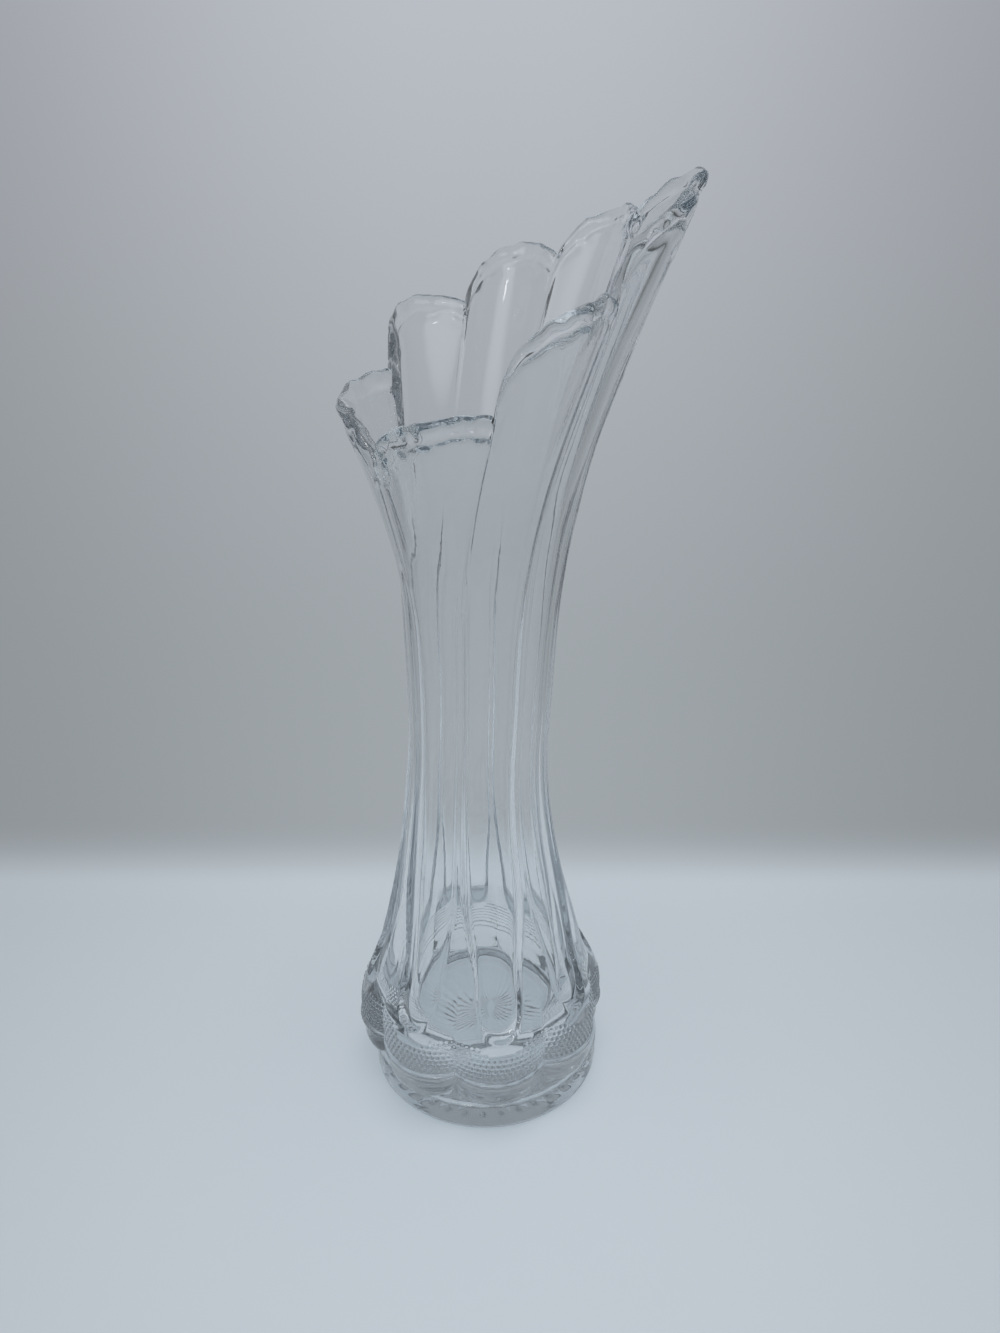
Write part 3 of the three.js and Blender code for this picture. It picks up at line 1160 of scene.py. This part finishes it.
    def noise(self, stretch_by: Triple, apart: float = 0.0) -> Term:
        """Smooth unevenness between -1 and 1.

        Args:
            stretch_by: Turns of the unevenness in a metre along X, Y and Z.
            apart: How unlike each other the two sides of the wall are.

        Returns:
            The unevenness at each point.
        """
        add = self.board.add
        place = add("GeometryNodeInputPosition").outputs[0]
        stretched = add("ShaderNodeVectorMath", {0: place, 1: stretch_by}, operation="MULTIPLY").outputs[0]
        settings = {"Scale": 1.0, "Detail": 1.0, "Vector": stretched, "W": self.attribute("facing") * apart}
        noise = add("ShaderNodeTexNoise", settings, noise_dimensions="4D")
        return (self.board.term(noise.outputs[0]) - 0.5) * 2.0

    def build(self, material: bpy.types.Material) -> bpy.types.NodeTree:
        """Makes the whole tree.

        Args:
            material: Glass that the tree sets on the skin.

        Returns:
            The finished tree.
        """
        self.declare()
        board, add, wall, terms = self.board, self.board.add, self.form.wall, self.terms
        entry = add("NodeGroupInput")
        for name in self.inputs:
            terms[name] = board.term(entry.outputs[name])
        height = board.split(add("GeometryNodeInputPosition").outputs[0])[2]
        share, room = self.attribute("share"), self.attribute("flute_room")
        lip_room, facing = self.attribute("lip_room"), self.attribute("facing")
        flute = self.flute(share, height)[0] * room
        bead_room = room.smooth(self.beads.room_start, self.beads.room_end)
        bead = self.bead(share, self.attribute("above_roll")) * bead_room
        waves = self.noise(wall.waves_a_metre, wall.sides_apart)
        waves = waves.towards(self.noise(wall.waves_a_metre), lip_room)
        lumps = self.noise(self.form.mouth.lumps_a_metre) * terms["Lip lump height"] * lip_room
        under_lip = self.attribute("groove") * terms["Lip groove depth"]
        outwards = bead - flute + waves * terms["Wave height"] * self.attribute("wave_room")
        outwards = outwards + facing * (lumps - under_lip)
        run = self.attribute("petal_run") * terms["Lip ripples a petal"] * FULL_TURN
        ripple = run.join("COSINE") * terms["Lip ripple height"] * lip_room
        groove = self.star_groove(share, self.attribute("star_reach"))
        pushed = board.scaled(self.stored("outward", "FLOAT_VECTOR"), outwards)
        lifted = add("ShaderNodeCombineXYZ", {2: ripple + lumps + groove}).outputs[0]
        offset = add("ShaderNodeVectorMath", {0: pushed, 1: lifted}, operation="ADD").outputs[0]
        move = add("GeometryNodeSetPosition", {"Offset": offset})
        smooth = add("GeometryNodeSetShadeSmooth")
        realize = add("GeometryNodeRealizeInstances")
        dress = add("GeometryNodeSetMaterial", {"Material": material})
        chain = (entry, move, smooth, realize, dress, add("NodeGroupOutput"))
        for before, after in zip(chain, chain[1:]):
            board.feed(after.inputs[0], before.outputs[0])
        return board.tree


@dataclass(frozen=True)
class ClearGlass:
    """Clear colourless pressed glass, fire-polished."""

    colour: Colour = (0.985, 0.992, 0.995)
    index: float = 1.5
    roughness: float = 0.0
    lamp_share: Colour = (0.90, 0.92, 0.93)
    depth_colour: Colour = (0.35, 0.42, 0.47)
    depth_density: float = 5.5
    streaks: float = 0.06
    streak_height: float = 0.0004
    streaks_a_metre: float = 260
    streak_stretch: Triple = (1, 1, 0.12)
    streak_detail: float = 3

    def make(self) -> bpy.types.Material:
        """Node-based glass whose surface has faint drawn-out streaks, and which lets lamps through.

        Returns:
            The material.
        """
        material = bpy.data.materials.new("clear_glass")
        add = Board.empty(material).add
        place = add("ShaderNodeTexCoord").outputs["Object"]
        drawn = add("ShaderNodeMapping", {"Vector": place, "Scale": self.streak_stretch}).outputs["Vector"]
        noise = {"Vector": drawn, "Scale": self.streaks_a_metre, "Detail": self.streak_detail}
        streaks = add("ShaderNodeTexNoise", noise).outputs[0]
        bump = {"Strength": self.streaks, "Distance": self.streak_height, "Height": streaks}
        surface = {
            "Base Color": (*self.colour, 1),
            "Roughness": self.roughness,
            "IOR": self.index,
            "Transmission Weight": 1,
            "Normal": add("ShaderNodeBump", bump).outputs["Normal"],
        }
        glass = add("ShaderNodeBsdfPrincipled", surface).outputs[0]
        through = add("ShaderNodeBsdfTransparent", {"Color": (*self.lamp_share, 1)}).outputs[0]
        shadow = add("ShaderNodeLightPath").outputs["Is Shadow Ray"]
        either = add("ShaderNodeMixShader", {0: shadow, 1: glass, 2: through}).outputs[0]
        inside = {"Color": (*self.depth_colour, 1), "Density": self.depth_density}
        depth = add("ShaderNodeVolumeAbsorption", inside).outputs[0]
        add("ShaderNodeOutputMaterial", {"Surface": either, "Volume": depth})
        return material


class VaseBody:
    """The vase itself: its skin, with the relief pressed in and the glass on it."""

    def __init__(self) -> None:
        """Sets the vase's sizes."""
        self.form = VaseForm()
        self.beads = Beads()
        self.star = Star()
        self.glass = ClearGlass()

    def build(self) -> bpy.types.Object:
        """Makes the vase's mesh, attaches it to the root body and hides the imported vase part.

        Returns:
            The finished piece.
        """
        skin = VaseSkin(self.form).mesh(self.star)
        rough = stand("vase_skin", skin)
        relief = ReliefTree(self.form, self.beads, self.star)
        modifier = rough.modifiers.new("relief", "NODES")
        modifier.node_group = relief.build(self.glass.make())
        for identifier, size in relief.inputs.values():
            modifier[identifier] = size
        seen = rough.evaluated_get(bpy.context.evaluated_depsgraph_get())
        mesh = bpy.data.meshes.new_from_object(seen)
        mesh.name = "vase_glass"
        for name in (*VaseSkin.SCALARS, "outward"):
            if name in mesh.attributes:
                mesh.attributes.remove(mesh.attributes[name])
        vase = stand("vase_glass", mesh)
        bpy.data.objects.remove(rough)
        bpy.data.meshes.remove(skin)
        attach(vase, "root")
        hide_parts("vase_body")
        triangles = sum(len(face.vertices) - 2 for face in mesh.polygons)
        log.info("vase: %d points, %d triangles", len(mesh.vertices), triangles)
        return vase


@dataclass(frozen=True)
class PaperTone:
    """Colours of the paper sweep as the eye sees them, with painted shade and light on them, how far each
    painted shade darkens them, and where each painted shade and light runs.
    """

    floor: Colour = (0.515, 0.565, 0.610)
    # Painted shade and light: the wall is painted darker than the floor, and its top painted lighter.
    wall: Colour = (0.350, 0.382, 0.405)
    wall_top_painted_light: Colour = (0.520, 0.540, 0.590)
    lit_share: float = 0.65
    # Painted shade: how far the paper's edges, the wall's upper corners and its far sides are darkened.
    wall_painted_shade: float = 0.22
    top_painted_shade: float = 0.20
    side_painted_shade: float = 0.75
    floor_painted_shade: float = 0.10
    wall_run: Span = (0.118, 0.150)
    top_run: Span = (0.10, 0.56)
    edge_run: Span = (0.02, 0.34)
    side_run: Span = (0.30, 0.58)

    def make(self) -> bpy.types.Material:
        """Paper that is seen at its own tone, with its painted shade and painted light, and still takes the
        vase's shadow. The seen tone is emitted for camera, glossy and transmission rays.

        Returns:
            The material.
        """
        material = bpy.data.materials.new("pale_paper")
        board = Board.empty(material)
        add = board.add
        side, along, up = board.split(add("ShaderNodeTexCoord").outputs["Object"])
        to_wall, to_top = along.smooth(*self.wall_run), up.smooth(*self.top_run)
        aside = side.join("ABSOLUTE")
        edge, side_shade_mask = aside.smooth(*self.edge_run), aside.smooth(*self.side_run) * to_wall
        # Painted shade: the paper is darker towards its edges, most at the wall's upper corners, and the
        # wall's far sides are darker still.
        painted_shading = to_wall * (self.wall_painted_shade - self.floor_painted_shade) + self.floor_painted_shade
        painted_shading = (1.0 - edge * (painted_shading + to_top * self.top_painted_shade)) * (1.0 - side_shade_mask * self.side_painted_shade)
        # Painted light: the wall is darker low down and lighter towards its top.
        wall = board.blend(self.wall, self.wall_top_painted_light, to_top)
        painted_paper_tone = board.scaled(board.blend(self.floor, wall, to_wall), painted_shading)
        rays = add("ShaderNodeLightPath").outputs
        kinds = ("Is Camera Ray", "Is Glossy Ray", "Is Transmission Ray")
        direct, glossy, through = (board.term(rays[kind]) for kind in kinds)
        lit_share = (1.0 - to_wall) * self.lit_share
        strength = (direct + glossy + through).unit() * (1.0 - lit_share)
        glow = add("ShaderNodeEmission", {"Color": painted_paper_tone, "Strength": strength}).outputs[0]
        matt = add("ShaderNodeBsdfDiffuse", {"Color": board.scaled(painted_paper_tone, lit_share)}).outputs[0]
        both = add("ShaderNodeAddShader", {0: glow, 1: matt}).outputs[0]
        back = add("ShaderNodeNewGeometry").outputs["Backfacing"]
        clear = add("ShaderNodeBsdfTransparent").outputs[0]
        either = add("ShaderNodeMixShader", {0: back, 1: both, 2: clear}).outputs[0]
        add("ShaderNodeOutputMaterial", {"Surface": either})
        return material


@dataclass(frozen=True)
class Sweep:
    """Pale paper sweep: a floor that bends up into a backdrop behind the vase."""

    floor_gap: float = 0.0004
    front: float = -2.6
    bend_start: float = 0.100
    bend_radius: float = 0.060
    bend_rows: int = 17
    top: float = 2.4
    half_width: float = 2.6
    tone: PaperTone = field(default_factory=PaperTone)

    def build(self) -> bpy.types.Object:
        """Makes the sweep.

        Returns:
            The sweep.
        """
        outline = [(self.front, -self.floor_gap)]
        for sweep in np.linspace(0, QUARTER_TURN, self.bend_rows):
            along = self.bend_start + self.bend_radius * math.sin(sweep)
            outline.append((along, self.bend_radius * (1 - math.cos(sweep)) - self.floor_gap))
        outline.append((self.bend_start + self.bend_radius, self.top))
        points = [(side * self.half_width, along, up) for side in (-1, 1) for along, up in outline]
        count = len(outline)
        faces = [(row, count + row, count + row + 1, row + 1) for row in range(count - 1)]
        mesh = bpy.data.meshes.new("paper_sweep")
        mesh.from_pydata(points, [], faces)
        mesh.shade_smooth()
        sweep = stand("paper_sweep", mesh)
        mesh.materials.append(self.tone.make())
        log.info("paper sweep: %d faces", len(faces))
        return sweep


@dataclass(frozen=True)
class Room:
    """Dim room that the glass mirrors, with a soft window behind the camera.

    The window shows in reflections only. Its wide glow is left out after a few bounces.
    """

    front: Colour = (0.10, 0.11, 0.12)
    back: Colour = (0.28, 0.30, 0.33)
    sides: Colour = (0.06, 0.065, 0.07)
    above: Colour = (0.32, 0.34, 0.36)
    back_run: Span = (-0.3, 0.6)
    side_run: Span = (0.5, 0.85)
    above_run: Span = (0.35, 0.9)
    window_place: Triple = (-0.20, -0.68, 0.70)
    glow: Colour = (1.9, 1.94, 1.98)
    glow_run: Span = (0.80, 0.99)
    glow_depth: float = 2.5
    window: Colour = (9.0, 9.0, 9.0)
    window_run: Span = (0.9965, 0.9985)


@dataclass(frozen=True)
class Lamp:
    """Wide soft lamp overhead."""

    width: float = 0.5
    length: float = 0.36
    energy: float = 12.4
    place: Triple = (0.05, -0.04, 1.1)
    target: Triple = (0.0, 0.0, 0.1)


@dataclass(frozen=True)
class Eye:
    """Camera at the photograph's angle, a little above the lips. Lens and sensor are millimetres."""

    lens: float = 27
    sensor: float = 36
    place: Triple = (0.0062, -0.3532, 0.3336)
    look_down: float = 22.8


@dataclass(frozen=True)
class Studio:
    """Soft light round the vase, and the camera at the photograph's angle."""

    room: Room = field(default_factory=Room)
    lamp: Lamp = field(default_factory=Lamp)
    eye: Eye = field(default_factory=Eye)

    def surround(self) -> None:
        """Makes the world, as the room round the vase."""
        room, world = self.room, bpy.data.worlds.new("studio_air")
        board = Board.empty(world)
        add = board.add
        direction = add("ShaderNodeTexCoord").outputs["Generated"]
        aside, back, up = board.split(direction)
        tone = board.blend(room.front, room.back, back.smooth(*room.back_run))
        tone = board.blend(tone, room.sides, aside.join("ABSOLUTE").smooth(*room.side_run))
        tone = board.blend(tone, room.above, up.smooth(*room.above_run))
        facing = {0: direction, 1: Vector(room.window_place).normalized()}
        near = board.term(add("ShaderNodeVectorMath", facing, operation="DOT_PRODUCT").outputs["Value"])
        rays = add("ShaderNodeLightPath").outputs
        glossy, through = board.term(rays["Is Glossy Ray"]), board.term(rays["Is Transmission Ray"])
        mirrored = (glossy - through).unit()
        outside = board.term(rays["Ray Depth"]).join("LESS_THAN", room.glow_depth)
        tone = board.blend(tone, room.glow, near.smooth(*room.glow_run) * mirrored * outside)
        tone = board.blend(tone, room.window, near.smooth(*room.window_run) * mirrored)
        air = add("ShaderNodeBackground", {"Color": tone}).outputs[0]
        add("ShaderNodeOutputWorld", {"Surface": air})
        bpy.context.scene.world = world
        log.info("world made")

    def light(self) -> None:
        """Makes the lamp. The glass neither mirrors nor shows it."""
        lamp = bpy.data.lights.new("overhead_lamp", "AREA")
        lamp.shape = "RECTANGLE"
        lamp.size = self.lamp.width
        lamp.size_y = self.lamp.length
        lamp.energy = self.lamp.energy
        light = stand("overhead_lamp", lamp)
        light.location = self.lamp.place
        aim = Vector(self.lamp.target) - light.location
        light.rotation_mode = "QUATERNION"
        light.rotation_quaternion = aim.to_track_quat("-Z", "Y")
        light.visible_glossy = False
        light.visible_transmission = False
        log.info("lamp made")

    def camera(self) -> None:
        """Makes the camera."""
        eye = bpy.data.cameras.new("camera")
        eye.lens = self.eye.lens
        eye.sensor_width = self.eye.sensor
        camera = stand("camera", eye)
        camera.location = self.eye.place
        camera.rotation_euler = (math.radians(90 - self.eye.look_down), 0, 0)
        bpy.context.scene.camera = camera
        log.info("camera made")


def main() -> None:
    """Builds the vase and its stage."""
    logging.basicConfig(level=logging.INFO, format="%(name)s: %(message)s")
    scene = bpy.context.scene
    scene.view_settings.view_transform = "Standard"
    scene.cycles.max_bounces = GLASS_BOUNCES
    scene.cycles.transmission_bounces = GLASS_BOUNCES
    scene.cycles.glossy_bounces = GLASS_BOUNCES
    scene.cycles.transparent_max_bounces = CLEAR_BOUNCES
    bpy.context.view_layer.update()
    studio = Studio()
    studio.camera()
    VaseBody().build()
    Sweep().build()
    studio.surround()
    studio.light()


if __name__ == "__main__":
    main()
